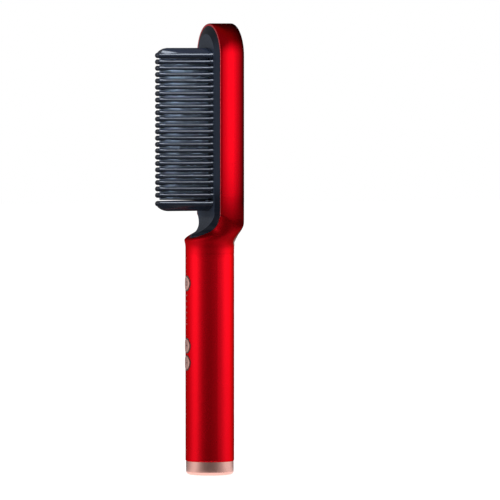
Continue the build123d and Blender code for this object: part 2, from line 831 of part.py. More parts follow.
def screw_from_back(x, z, seat_y, depth):
    """A screw whose head rests on seat_y, with its shank towards -Y."""
    shank = rod_y(x, z, seat_y - depth, seat_y, screw_radius)
    head = rod_y(x, z, seat_y, seat_y + screw_head_height, screw_head_radius)
    drive = rod_y(x, z, seat_y + screw_head_height / 2, seat_y + 2 * screw_head_height, screw_radius * 0.6)
    return shank + head - drive


def make_carrier_screws():
    depth = carrier_back_y - web_front_y + carrier_screw_depth - 0.2
    return group([screw_from_back(x, z, carrier_back_y, depth) for x, z in carrier_screw_places()])


def make_clamp_screws():
    depth = clamp_back_y - web_back_y - 1.2
    return group([screw_from_back(x, z, clamp_back_y, depth) for x, z in clamp_screw_places()])


def make_thermistor():
    y = heated_base_back_y + thermistor_radius
    z = heater_mid_z + sensor_spacing / 2
    return rod_x(y, z, -thermistor_length / 2, thermistor_length / 2, thermistor_radius)


def make_thermal_fuse():
    y = heated_base_back_y + thermal_fuse_radius
    z = heater_mid_z - sensor_spacing / 2
    return rod_x(y, z, -thermal_fuse_length / 2, thermal_fuse_length / 2, thermal_fuse_radius)


# ---- Chassis, boards and wiring in the handle ----
def board_boss_places():
    return [(side * board_boss_x, z) for side in (-1, 1) for z in (board_screw_low, board_screw_high)]


def make_chassis():
    tube = rod_z(0, 0, chassis_bottom, chassis_top, chassis_outer)
    tube = tube - rod_z(0, 0, chassis_bottom - 1, chassis_top + 1, chassis_inner)
    tube = tube - box(-bore_radius, bore_radius, -bore_radius, control_board_y, 0, overall_height)
    inner = rod_z(0, 0, chassis_bottom, chassis_top, chassis_inner + chassis_wall / 2)
    rails = []
    edge = math.sqrt(chassis_inner**2 - (power_board_y + rail_thickness) ** 2)
    for side in (-1, 1):
        x0, x1 = sorted((side * (edge - rail_width), side * chassis_outer))
        rails.append(
            box(x0, x1, power_board_y, power_board_y + rail_thickness, power_board_bottom, power_board_top) & inner
        )
        post = rod_z(side * plug_screw_x, 0, chassis_bottom, chassis_bottom + plug_post_length, plug_post_radius)
        rails.append(post & inner)
    for x, z in board_boss_places():
        rails.append(rod_y(x, z, control_board_y, chassis_inner, board_boss_radius) & inner)
    low = chassis_top - bridge_height
    tongue = box(-tongue_half_width, tongue_half_width, tongue_y, tongue_y + tongue_thickness, low, tongue_top)
    bridge = box(-chassis_inner, chassis_inner, tongue_y, chassis_outer, low, low + bridge_thickness) & inner
    for piece in rails + [tongue, bridge]:
        tube = tube + piece
    tube = tube - rod_y(0, tongue_screw_height, 0, chassis_outer, screw_radius + screw_hole_gap)
    for x, z in board_boss_places():
        tube = tube - rod_y(x, z, control_board_y - 1, control_board_y + 6, screw_radius + screw_hole_gap)
    for side in (-1, 1):
        top = chassis_bottom + plug_post_length - 1
        tube = tube - rod_z(side * plug_screw_x, 0, 0, top, screw_radius + screw_hole_gap)
    return tube


def make_chassis_screw():
    return screw_from_back(0, tongue_screw_height, tongue_y + tongue_thickness, tongue_thickness + 3.2)


def make_control_board():
    half = math.sqrt((bore_radius - board_edge_fit) ** 2 - control_board_front_y**2)
    board = box(-half, half, control_board_front_y, control_board_y, control_board_bottom, control_board_top)
    for x, z in board_boss_places():
        board = board - rod_y(x, z, control_board_front_y - 1, control_board_y + 1, screw_radius + screw_hole_gap)
    return board


def make_board_screws():
    screws = []
    for x, z in board_boss_places():
        shank = rod_y(x, z, control_board_front_y, control_board_y + 5, screw_radius)
        head = rod_y(x, z, control_board_front_y - screw_head_height, control_board_front_y, screw_head_radius)
        screws.append(shank + head)
    return group(screws)


def make_power_board():
    half = math.sqrt(chassis_inner**2 - power_board_y**2) - board_edge_fit
    board = box(-half, half, power_board_front_y, power_board_y, power_board_bottom, power_board_top)
    for x, z in board_boss_places():
        gap = board_boss_radius + board_boss_fit
        board = board - rod_y(x, z, power_board_front_y - 1, power_board_y + 1, gap)
    return board


def power_part_low(place):
    """Lower end of a part on the power board, counted from the mains end, with equal gaps between them."""
    return power_board_bottom + sum(power_parts[:place]) + place * power_part_gap


def on_power_board(place, height):
    low = power_part_low(place)
    high = low + power_parts[place]
    half = board_part_half_width
    return box(-half, half, power_board_front_y - height, power_board_front_y, low, high)


def make_input_terminal():
    return on_power_board(0, terminal_height)


def make_line_fuse():
    z = power_part_low(1) + line_fuse_radius
    half = board_part_half_width
    return rod_x(power_board_front_y - line_fuse_radius, z, -half, half, line_fuse_radius)


def make_film_capacitor():
    block = on_power_board(2, part_height_on_board)
    return fillet(block.edges().filter_by(Axis.Y), 1.0)


def make_choke():
    z = power_part_low(3) + board_part_half_width
    front = power_board_front_y - part_height_on_board
    core = rod_y(0, z, front, power_board_front_y, board_part_half_width)
    return core - rod_y(0, z, front - 1, power_board_front_y + 1, choke_hole_radius)


def make_relay():
    return on_power_board(4, part_height_on_board)


def make_output_terminal():
    return on_power_board(5, terminal_height)


def make_controller_chip():
    low = (control_board_bottom + control_board_top) / 2 - 5
    return box(-3.5, 3.5, control_board_y, control_board_y + 1.2, low, low + 7)


def make_sensor_connector():
    high = control_board_top - 16
    return box(0.0, 5.0, control_board_y, control_board_y + 2.2, high - 6, high)


def make_heater_wires():
    start_z = power_board_top - board_end_margin
    start_y = power_board_front_y - terminal_height / 2
    end_y = heated_base_back_y + heater_thickness - wire_radius
    wires = []
    for x0, x1 in ((-1.8, -4.6), (-4.0, -6.6)):
        points = [
            (x0, start_y, start_z),
            (x0, start_y, start_z + 20),
            (x1, end_y, heater_low_z - 17),
            (x1, end_y, heater_low_z),
        ]
        wires.append(wire_tube(points, [30.0, 30.0], wire_radius))
    return group(wires)


def make_thermistor_lead():
    y = heated_base_back_y + thermistor_radius
    low_y = control_board_y + 1.1
    side = heater_half_width + lead_clearance
    points = [
        (thermistor_length / 2, y, heater_mid_z + sensor_spacing / 2),
        (side, y, heater_mid_z + sensor_spacing / 2),
        (side, y, heater_low_z - 20),
        (2.5, low_y, control_board_top),
        (2.5, low_y, control_board_top - 16),
    ]
    return wire_tube(points, [2.2, 20.0, 20.0], lead_radius)


def make_supply_wires():
    tab = chassis_inner - 1.2
    end_y = power_board_front_y - terminal_height / 2
    wires = []
    for side, x in ((1, -3.0), (-1, 3.0)):
        points = [
            (0, side * tab, plug_top - 1),
            (0, side * tab, plug_top + 2.2),
            (x, end_y, power_board_bottom - 3.2),
            (x, end_y, power_board_bottom),
        ]
        wires.append(wire_tube(points, [1.6, 1.6], wire_radius))
    return group(wires)


# ---- Switches and indicator lights ----
def make_tact_switches():
    half = switch_size / 2
    floor = control_board_front_y - switch_floor_gap
    bodies = []
    for z in button_heights:
        body = box(-half, half, switch_front_y, control_board_front_y, z - half, z + half)
        bodies.append(body - rod_y(0, z, switch_front_y - 1, floor, stem_radius + button_fit))
    return group(bodies)


def make_indicator_leds():
    front = control_board_front_y - led_height
    chips = [box(-0.8, 0.8, front, control_board_front_y, z - 0.5, z + 0.5) for z in indicator_heights()]
    return group(chips)


def make_light_pipe():
    back = control_board_front_y - led_height - led_gap
    outer = rod_z(0, 0, end_cap_height, head_bottom, handle_radius + collar_proud)
    front = -math.sqrt((bore_radius - indicator_fit) ** 2 - light_bar_half_width**2)
    heights = indicator_heights()
    pipe = box(
        -light_bar_half_width,
        light_bar_half_width,
        front,
        front + light_bar_thickness,
        heights[-1] - indicator_pitch / 2,
        heights[0] + indicator_pitch / 2,
    )
    for z in heights:
        pipe = pipe + (rod_y(0, z, -handle_radius - 1, back, indicator_radius) & outer)
    return pipe


# ---- Buttons ----
def make_button_collars():
    outer = rod_z(0, 0, end_cap_height, head_bottom, handle_radius + collar_proud)
    collars = []
    for z in button_heights:
        ring = rod_y(0, z, -handle_radius - 1, collar_back_y, collar_radius - 0.01)
        collars.append((ring - rod_y(0, z, -2 * handle_radius, 0, button_radius + button_fit)) & outer)
    return group(collars)


def button_dish(z):
    """Large ball that dishes a button's face inside its rim."""
    rim = button_radius - button_rim_width
    radius = (rim**2 + button_dish_depth**2) / (2 * button_dish_depth)
    return Pos(0, button_face_y + button_dish_depth - radius, z) * Sphere(radius)


def make_button(z, icon):
    face = rod_z(0, 0, z - 2 * button_radius, z + 2 * button_radius, handle_radius + button_proud)
    button = rod_y(0, z, button_face_y - 1, flange_front_y, button_radius) & face
    button = button - button_dish(z)
    button = button + rod_y(0, z, flange_front_y, flange_back_y, button_flange_radius)
    return button - icon


def icon_blank(z, face):
    """An icon drawn at a button's centre, cut to its depth under the dished face."""
    front = button_face_y + button_dish_depth
    return prism_y(Pos(0, z) * face, front - 1, front + icon_depth)


def plus_face():
    return Rectangle(2 * icon_size, icon_stroke) + Rectangle(icon_stroke, 2 * icon_size)


def minus_face():
    return Rectangle(2 * icon_size, icon_stroke)


def power_face():
    half = icon_stroke / 2
    ring = Circle(icon_size + half) - Circle(icon_size - half)
    ring = ring - Pos(0, icon_size) * Rectangle(3 * icon_stroke, 2 * icon_size * 0.8)
    return ring + Pos(0, icon_size * 0.75) * Rectangle(icon_stroke, icon_size * 1.1)


def make_stem(z):
    end = switch_front_y + stem_engagement
    return rod_y(0, z, flange_back_y, end, stem_radius)


# ---- End cap, plug and swivel ----
def make_end_cap():
    top = end_cap_height - end_cap_seam
    cap = rod_z(0, 0, 0, top, end_cap_radius)
    cap = fillet(cap.edges().sort_by(Axis.Z)[0], end_cap_round)
    cap = chamfer(cap.edges().sort_by(Axis.Z)[-1], end_cap_chamfer)
    cap = cap - rod_z(0, 0, end_cap_floor, top + 1, end_cap_radius - end_cap_wall)
    return cap - rod_z(0, 0, -1, end_cap_floor + 1, swivel_flange_radius + swivel_flange_gap)


def make_end_plug():
    lower = rod_z(0, 0, end_cap_floor, end_cap_height, end_cap_radius - end_cap_wall - plug_fit)
    upper = rod_z(0, 0, end_cap_height, plug_top, bore_radius - plug_fit)
    plug = lower + upper - rod_z(0, 0, plug_plate_top, plug_top + 1, bore_radius - plug_fit - plug_wall)
    plug = plug - rod_z(0, 0, 0, plug_plate_top + 1, swivel_radius + swivel_fit)
    for side in (-1, 1):
        x = side * plug_screw_x
        plug = plug + (rod_z(x, 0, plug_plate_top, plug_top, plug_post_radius) & rod_z(0, 0, 0, plug_top, bore_radius - 1))
        plug = plug - rod_z(x, 0, 0, plug_top + 1, screw_radius + screw_hole_gap)
        plug = plug - rod_z(x, 0, 0, end_cap_floor + screw_head_height, screw_head_radius + screw_hole_gap)
    return plug


def make_plug_screws():
    screws = []
    seat = end_cap_floor + screw_head_height
    for side in (-1, 1):
        x = side * plug_screw_x
        shank = rod_z(x, 0, seat, seat + plug_screw_length, screw_radius)
        screws.append(shank + rod_z(x, 0, end_cap_floor + 0.05, seat, screw_head_radius))
    return group(screws)


def make_cord_swivel():
    flange_top = end_cap_floor - swivel_flange_gap / 2
    clip_top = plug_plate_top + swivel_flange_gap + swivel_clip_thickness
    swivel = rod_z(0, 0, swivel_bottom, flange_top, swivel_flange_radius)
    swivel = swivel + rod_z(0, 0, flange_top, clip_top - swivel_clip_thickness, swivel_radius)
    swivel = swivel + rod_z(0, 0, clip_top - swivel_clip_thickness, swivel_neck_top, swivel_neck_radius)
    swivel = swivel - rod_z(0, 0, 0, swivel_bottom + cord_bore_length, cord_bore_radius)
    return swivel - rod_z(0, 0, 0, swivel_neck_top + 1, core_hole_radius)


def make_swivel_clip():
    low = plug_plate_top + swivel_flange_gap
    clip = rod_z(0, 0, low, low + swivel_clip_thickness, swivel_clip_radius)
    return clip - rod_z(0, 0, low - 1, low + swivel_clip_thickness + 1, swivel_neck_radius + 0.01)


def slip_ring_lows():
    low = plug_plate_top + swivel_flange_gap + swivel_clip_thickness + 0.6
    return low, swivel_neck_top - slip_ring_height


def make_slip_rings():
    rings = []
    for low in slip_ring_lows():
        ring = rod_z(0, 0, low, low + slip_ring_height, slip_ring_radius)
        rings.append(ring - rod_z(0, 0, low - 1, low + slip_ring_height + 1, swivel_neck_radius + 0.01))
    return group(rings)


def make_contact_brushes():
    wall = bore_radius - plug_fit - plug_wall
    near = slip_ring_radius + brush_gap
    brushes = []
    for side, low in zip((1, -1), slip_ring_lows()):
        y0, y1 = sorted((side * near, side * wall))
        leaf = box(-brush_half_width, brush_half_width, y0, y1, low + 0.2, low + slip_ring_height - 0.2)
        t0, t1 = sorted((side * (chassis_inner - 1.2 - 0.8), side * wall))
        tab = box(-brush_half_width, brush_half_width, t0, t1, low + 0.2, plug_top - 1)
        brushes.append((leaf + tab) & rod_z(0, 0, 0, overall_height, wall))
    return group(brushes)


# ---- Write every node ----
def make_nodes():
    icons = {}
    for name, z, face in zip(("power", "plus", "minus"), button_heights, (power_face(), plus_face(), minus_face())):
        blank = icon_blank(z, face)
        icons[name] = (z, blank, blank - button_dish(z))
    nodes = {
        "housing": make_housing(),
        "back_trim_ring": make_back_trim_ring(),
        "back_panel": make_back_panel(),
        "comb_bezel": make_comb_bezel(),
        "guard_comb_right": make_guard_comb(1),
        "guard_comb_left": make_guard_comb(-1),
        "guard_end_top": make_guard_end(fin_top_inner, 1),
        "guard_end_bottom": make_guard_end(fin_bottom_inner, -1),
        "heating_comb": make_heating_comb(),
        "comb_carrier": make_comb_carrier(),
        "ceramic_heaters": make_ceramic_heaters(),
        "mica_sheet": make_mica_sheet(),
        "heater_clamp": make_heater_clamp(),
        "carrier_screws": make_carrier_screws(),
        "clamp_screws": make_clamp_screws(),
        "thermistor": make_thermistor(),
        "thermal_fuse": make_thermal_fuse(),
        "thermistor_lead": make_thermistor_lead(),
        "heater_wires": make_heater_wires(),
        "supply_wires": make_supply_wires(),
        "chassis": make_chassis(),
        "chassis_screw": make_chassis_screw(),
        "control_board": make_control_board(),
        "board_screws": make_board_screws(),
        "controller_chip": make_controller_chip(),
        "sensor_connector": make_sensor_connector(),
        "power_board": make_power_board(),
        "input_terminal": make_input_terminal(),
        "line_fuse": make_line_fuse(),
        "film_capacitor": make_film_capacitor(),
        "choke": make_choke(),
        "relay": make_relay(),
        "output_terminal": make_output_terminal(),
        "tact_switches": make_tact_switches(),
        "indicator_leds": make_indicator_leds(),
        "light_pipe": make_light_pipe(),
        "button_collars": make_button_collars(),
        "end_cap": make_end_cap(),
        "end_plug": make_end_plug(),
        "plug_screws": make_plug_screws(),
        "contact_brushes": make_contact_brushes(),
        "cord_swivel": make_cord_swivel(),
        "swivel_clip": make_swivel_clip(),
        "slip_rings": make_slip_rings(),
    }
    for name, (z, blank, icon) in icons.items():
        nodes[name + "_button"] = make_button(z, blank)
        nodes[name + "_icon"] = icon
        nodes[name + "_stem"] = make_stem(z)
    return nodes


os.makedirs("parts", exist_ok=True)
for node_name, shape in make_nodes().items():
    export_step(shape, "parts/" + node_name + ".step")
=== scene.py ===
import json
import math

import bpy
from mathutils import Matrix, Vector

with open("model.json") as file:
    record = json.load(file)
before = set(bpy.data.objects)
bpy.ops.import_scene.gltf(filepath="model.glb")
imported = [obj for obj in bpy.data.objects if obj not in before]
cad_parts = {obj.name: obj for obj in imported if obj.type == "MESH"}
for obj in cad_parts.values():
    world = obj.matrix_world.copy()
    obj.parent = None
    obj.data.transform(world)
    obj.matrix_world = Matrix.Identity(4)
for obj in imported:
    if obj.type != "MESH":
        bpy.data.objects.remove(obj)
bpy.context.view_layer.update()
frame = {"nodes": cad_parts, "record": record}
nodes = frame["nodes"]
scene = bpy.context.scene
scene.view_settings.view_transform = "Standard"

MM = 0.001

# ---- Heights and depths on the comb, where its finish, its painted shade and its painted highlight change ----
HEAD_HEIGHTS = (145 * MM, 172 * MM)  # the neck, where the head's tilted normals and its painted shade fade in
NECK_BELOW = (138 * MM, 150 * MM)  # the neck's band, rougher and with painted shade, fades in
NECK_ABOVE = (162 * MM, 178 * MM)  # and out again
RIM_HEIGHTS = (150 * MM, 156 * MM)  # the front rim's painted highlight fades in
SWEEP_HEIGHTS = (170 * MM, 185 * MM)  # the bezel's foot ends, and the full painted shade on its side slopes with it
ARC_HEIGHTS = (240 * MM, 255 * MM)  # the head's top arc begins, where the bezel's upward faces get painted shade
CROWN_DEPTHS = (-0.7 * MM, 6.0 * MM)  # the side walls' sheen tilts toward the back
SHADE_DEPTHS = (7.4 * MM, 14.2 * MM)  # painted shade: the side walls' colour darkens toward the back edge

# ---- Finishes of those places, painted shade and a painted highlight among them ----
CROWN_TILT = (0.0, 0.45)
# painted shade: the head's colour at its back edge, as a share of its own
SHADE_LEVEL = 0.03
EDGE_RADIUS = 1.2 * MM
EDGE_SAMPLES = 6
# painted highlight: the colour the front rim is lightened to
RIM_HIGHLIGHT_COLOUR = (1.0, 0.24, 0.26)
RIM_FACING = (-0.98, -0.9)
NECK_ROUGHER = 0.24
# painted shade on the neck: its colour is multiplied by this
NECK_PAINTED_SHADE = 0.55
# painted shade on the bezel: how much sideways slope counts, which slopes darken, and their near-black colour
SIDE_SHARE = 0.45
SLOPE_RANGE = (0.1, 0.3)
SLOPE_SHADE_COLOUR = (0.004, 0.006, 0.012)
LACQUER_TINT = (1.0, 0.25, 0.28, 1.0)

# ---- Grain of the materials: cells per metre, relief heights, clear coats ----
FLAKE_SCALE = 2600.0
FLAKE_HEIGHT = 0.02 * MM
FLAKE_RELIEF = 0.05
FLAKE_STOPS = (0.2, 0.55)
CLOUD_SCALE = 22.0
LINE_SCALE = 900.0
LINE_HEIGHT = 0.03 * MM
LINE_RELIEF = 0.06
LINE_STOPS = (0.25, 0.6)
SMUDGE_SCALE = 60.0
DRIFT_SCALE = 35.0
GRAIN_SCALE = 900.0
GRAIN_HEIGHT = 0.04 * MM
GRAIN_RELIEF = 0.08
COAT_ROUGHNESS = 0.2
MOULDED_COAT_ROUGHNESS = 0.12

# ---- Camera at the photograph's angle ----
VIEW_AZIMUTH = math.radians(71.0)
DISTANCE = 4.0
FRAME_WIDTH = 0.3156
SENSOR_WIDTH = 36.0
EYE_HEIGHT = 0.280
AIM_HEIGHT = 0.1419
SIDE_STEP = 0.0254
FAR_CLIP = 30.0
toward = Vector((math.sin(VIEW_AZIMUTH), -math.cos(VIEW_AZIMUTH), 0.0))
right = Vector((math.cos(VIEW_AZIMUTH), math.sin(VIEW_AZIMUTH), 0.0))


def aim(thing, target):
    """Turn a camera or a lamp so that it looks at a point."""
    thing.rotation_euler = (target - thing.location).to_track_quat("-Z", "Y").to_euler()


camera_data = bpy.data.cameras.new("camera")
camera = bpy.data.objects.new("camera", camera_data)
scene.collection.objects.link(camera)
camera_data.sensor_width = SENSOR_WIDTH
camera_data.lens = SENSOR_WIDTH * DISTANCE / FRAME_WIDTH
camera_data.clip_end = FAR_CLIP
camera.location = right * SIDE_STEP + toward * DISTANCE + Vector((0, 0, EYE_HEIGHT))
aim(camera, right * SIDE_STEP + Vector((0, 0, AIM_HEIGHT)))
scene.camera = camera


# ---- Node helpers ----
def feed(tree, socket, value):
    """Link a socket, or set a plain value."""
    if isinstance(value, bpy.types.NodeSocket):
        tree.links.new(value, socket)
    else:
        socket.default_value = value


def source(tree, socket):
    """The socket that is linked to this one."""
    return socket.links[0].from_socket


def new_material(name):
    material = bpy.data.materials.new(name)
    material.use_nodes = True
    tree = material.node_tree
    tree.nodes.clear()
    output = tree.nodes.new("ShaderNodeOutputMaterial")
    return material, tree, output


def surface_material(name):
    material, tree, output = new_material(name)
    shader = tree.nodes.new("ShaderNodeBsdfPrincipled")
    tree.links.new(shader.outputs["BSDF"], output.inputs["Surface"])
    return material, tree, shader


def noise(tree, scale, detail=2.0, stretch=(1, 1, 1)):
    """Object-space noise; returns its value socket."""
    coords = tree.nodes.new("ShaderNodeTexCoord")
    mapping = tree.nodes.new("ShaderNodeMapping")
    mapping.inputs["Scale"].default_value = stretch
    texture = tree.nodes.new("ShaderNodeTexNoise")
    texture.inputs["Scale"].default_value = scale
    texture.inputs["Detail"].default_value = detail
    tree.links.new(coords.outputs["Object"], mapping.inputs["Vector"])
    tree.links.new(mapping.outputs["Vector"], texture.inputs["Vector"])
    return texture.outputs["Fac"]


def ramp(tree, value, low, high, at=(0.3, 0.7)):
    """A colour between two stops, driven by a socket."""
    node = tree.nodes.new("ShaderNodeValToRGB")
    for stop, position, colour in zip(node.color_ramp.elements, at, (low, high)):
        stop.position = position
        stop.color = (*colour, 1.0)
    tree.links.new(value, node.inputs["Fac"])
    return node.outputs["Color"]


def map_range(tree, value, low, high, at=(0.3, 0.7)):
    """A number between two limits, driven by a socket; the limits may be sockets."""
    node = tree.nodes.new("ShaderNodeMapRange")
    settings = (("From Min", at[0]), ("From Max", at[1]), ("To Min", low), ("To Max", high), ("Value", value))
    for name, setting in settings:
        feed(tree, node.inputs[name], setting)
    return node.outputs["Result"]


def maths(tree, operation, *values):
    """A maths node's result."""
    node = tree.nodes.new("ShaderNodeMath")
    node.operation = operation
    for socket, value in zip(node.inputs, values):
        feed(tree, socket, value)
    return node.outputs[0]


def vector_maths(tree, operation, *values):
    """A vector maths node's vector."""
    node = tree.nodes.new("ShaderNodeVectorMath")
    node.operation = operation
    for socket, value in zip(node.inputs, values):
        feed(tree, socket, value)
    return node.outputs["Vector"]


def mixed(tree, factor, first, second, blend="MIX"):
    """A mix of two colours."""
    node = tree.nodes.new("ShaderNodeMix")
    node.data_type = "RGBA"
    node.blend_type = blend
    for name, value in (("Factor", factor), ("A", first), ("B", second)):
        feed(tree, node.inputs[name], value)
    return node.outputs["Result"]


def axes(tree, kind, output):
    """The X, Y and Z of a texture coordinate or of a geometry vector."""
    vector = tree.nodes.new(kind)
    split = tree.nodes.new("ShaderNodeSeparateXYZ")
    tree.links.new(vector.outputs[output], split.inputs["Vector"])
    return split.outputs


def place(tree, axis):
    return axes(tree, "ShaderNodeTexCoord", "Object")[axis]


def facing(tree, axis):
    return axes(tree, "ShaderNodeNewGeometry", "True Normal")[axis]


def bump(tree, shader, height, strength, distance):
    node = tree.nodes.new("ShaderNodeBump")
    node.inputs["Strength"].default_value = strength
    node.inputs["Distance"].default_value = distance
    tree.links.new(height, node.inputs["Height"])
    tree.links.new(node.outputs["Normal"], shader.inputs["Normal"])
    return node


# ---- The red shell's own touches, painted shade and a painted highlight among them ----
def on_head(tree):
    """Nothing below the neck, one on the head."""
    return map_range(tree, place(tree, "Z"), 0.0, 1.0, HEAD_HEIGHTS)


def on_neck(tree):
    """One in a level band around the neck, falling to nothing above and below it."""
    below = map_range(tree, place(tree, "Z"), 0.0, 1.0, NECK_BELOW)
    above = map_range(tree, place(tree, "Z"), 1.0, 0.0, NECK_ABOVE)
    return maths(tree, "MULTIPLY", below, above)


def crowned(tree, normal):
    """Tilt the normals of the head's flat side walls as if they bulged toward the back."""
    along = tree.nodes.new("ShaderNodeCombineXYZ")
    tree.links.new(map_range(tree, place(tree, "Y"), *CROWN_TILT, CROWN_DEPTHS), along.inputs["Y"])
    scaled = tree.nodes.new("ShaderNodeVectorMath")
    scaled.operation = "SCALE"
    tree.links.new(along.outputs["Vector"], scaled.inputs[0])
    tree.links.new(on_head(tree), scaled.inputs["Scale"])
    tilted = vector_maths(tree, "ADD", normal, scaled.outputs["Vector"])
    return vector_maths(tree, "NORMALIZE", tilted)


def rim_painted_highlight(tree, colour):
    """Paint a highlight on the head's front rim, its colour lightened toward pink."""
    front = map_range(tree, facing(tree, "Y"), 1.0, 0.0, RIM_FACING)
    above = map_range(tree, place(tree, "Z"), 0.0, 1.0, RIM_HEIGHTS)
    return mixed(tree, maths(tree, "MULTIPLY", front, above), colour, (*RIM_HIGHLIGHT_COLOUR, 1.0))


def painted_back_shade(tree, colour):
    """Paint shade into the head's colour, darker toward its back edge."""
    depth = map_range(tree, place(tree, "Y"), 1.0, SHADE_LEVEL, SHADE_DEPTHS)
    return mixed(tree, on_head(tree), colour, depth, "MULTIPLY")


def shape_shell(tree, shader, grain):
    """Give the shell its soft edges, its crowned head, a rougher neck with painted shade and a painted
    highlight on its rim.
    """
    soft = tree.nodes.new("ShaderNodeBevel")
    soft.samples = EDGE_SAMPLES
    soft.inputs["Radius"].default_value = EDGE_RADIUS
    tree.links.new(soft.outputs["Normal"], grain.inputs["Normal"])
    tree.links.new(crowned(tree, grain.outputs["Normal"]), shader.inputs["Normal"])
    neck = on_neck(tree)
    roughness = maths(tree, "MULTIPLY_ADD", neck, NECK_ROUGHER, source(tree, shader.inputs["Roughness"]))
    tree.links.new(roughness, shader.inputs["Roughness"])
    # Painted shade: the head darkens toward its back edge and the neck's band is darker; the front rim gets a
    # painted highlight.
    paint = painted_back_shade(tree, source(tree, shader.inputs["Base Color"]))
    darker = mixed(tree, neck, paint, (NECK_PAINTED_SHADE, NECK_PAINTED_SHADE, NECK_PAINTED_SHADE, 1.0), "MULTIPLY")
    tree.links.new(rim_painted_highlight(tree, darker), shader.inputs["Base Color"])


# ---- Materials ----
def lacquer(name, colour, dark, roughness, metallic, coat, shell=False):
    """Metallic lacquer: fine flakes in colour and gloss under a clear coat."""
    material, tree, shader = surface_material(name)
    flakes = noise(tree, FLAKE_SCALE, 1.0)
    clouds = noise(tree, CLOUD_SCALE, 3.0)
    tree.links.new(ramp(tree, flakes, dark, colour, FLAKE_STOPS), shader.inputs["Base Color"])
    tree.links.new(map_range(tree, clouds, roughness - 0.03, roughness + 0.03), shader.inputs["Roughness"])
    shader.inputs["Metallic"].default_value = metallic
    shader.inputs["Coat Weight"].default_value = coat
    shader.inputs["Coat Roughness"].default_value = COAT_ROUGHNESS
    shader.inputs["Specular Tint"].default_value = LACQUER_TINT
    grain = bump(tree, shader, flakes, FLAKE_RELIEF, FLAKE_HEIGHT)
    if shell:
        shape_shell(tree, shader, grain)
    return material


def plated(name, colour, dark, roughness, stretch, coat=0.0):
    """Plated metal with fine turning or drawing lines, bare or under a clear coat."""
    material, tree, shader = surface_material(name)
    lines = noise(tree, LINE_SCALE, 3.0, stretch)
    smudge = noise(tree, SMUDGE_SCALE, 3.0)
    tree.links.new(ramp(tree, lines, dark, colour, LINE_STOPS), shader.inputs["Base Color"])
    tree.links.new(map_range(tree, smudge, roughness - 0.04, roughness + 0.05), shader.inputs["Roughness"])
    shader.inputs["Metallic"].default_value = 1.0
    shader.inputs["Coat Weight"].default_value = coat
    shader.inputs["Coat Roughness"].default_value = COAT_ROUGHNESS
    bump(tree, shader, lines, LINE_RELIEF, LINE_HEIGHT)
    return material


def moulded(name, colour, dark, roughness, coat=0.0, grain=GRAIN_SCALE, relief=GRAIN_RELIEF, specular=0.5):
    """Moulded plastic: slight colour drift and a fine surface grain."""
    material, tree, shader = surface_material(name)
    drift = noise(tree, DRIFT_SCALE, 3.0)
    fine = noise(tree, grain, 2.0)
    tree.links.new(ramp(tree, drift, dark, colour), shader.inputs["Base Color"])
    tree.links.new(map_range(tree, fine, roughness - 0.05, roughness + 0.05), shader.inputs["Roughness"])
    shader.inputs["Specular IOR Level"].default_value = specular
    shader.inputs["Coat Weight"].default_value = coat
    shader.inputs["Coat Roughness"].default_value = MOULDED_COAT_ROUGHNESS
    bump(tree, shader, fine, relief, GRAIN_HEIGHT)
    return material


def bezel(name, colour, dark, roughness, **settings):
    """Moulded plastic with painted shade: darker where a face slopes to the side or, by the top arc, upward.
    """
    material = moulded(name, colour, dark, roughness, **settings)
    tree = material.node_tree
    shader = next(node for node in tree.nodes if node.type == "BSDF_PRINCIPLED")
    shares = {
        "X": map_range(tree, place(tree, "Z"), 1.0, SIDE_SHARE, SWEEP_HEIGHTS),
        "Z": map_range(tree, place(tree, "Z"), 0.0, 1.0, ARC_HEIGHTS),
    }
    tilt = tree.nodes.new("ShaderNodeCombineXYZ")
    for axis, share in shares.items():
        tree.links.new(maths(tree, "MULTIPLY", facing(tree, axis), share), tilt.inputs[axis])
    length = tree.nodes.new("ShaderNodeVectorMath")
    length.operation = "LENGTH"
    tree.links.new(tilt.outputs["Vector"], length.inputs[0])
    # painted shade: sloping faces are mixed toward near-black
    slope = map_range(tree, length.outputs["Value"], 0.0, 1.0, SLOPE_RANGE)
    plain = source(tree, shader.inputs["Base Color"])
    tree.links.new(mixed(tree, slope, plain, (*SLOPE_SHADE_COLOUR, 1.0)), shader.inputs["Base Color"])
    return material


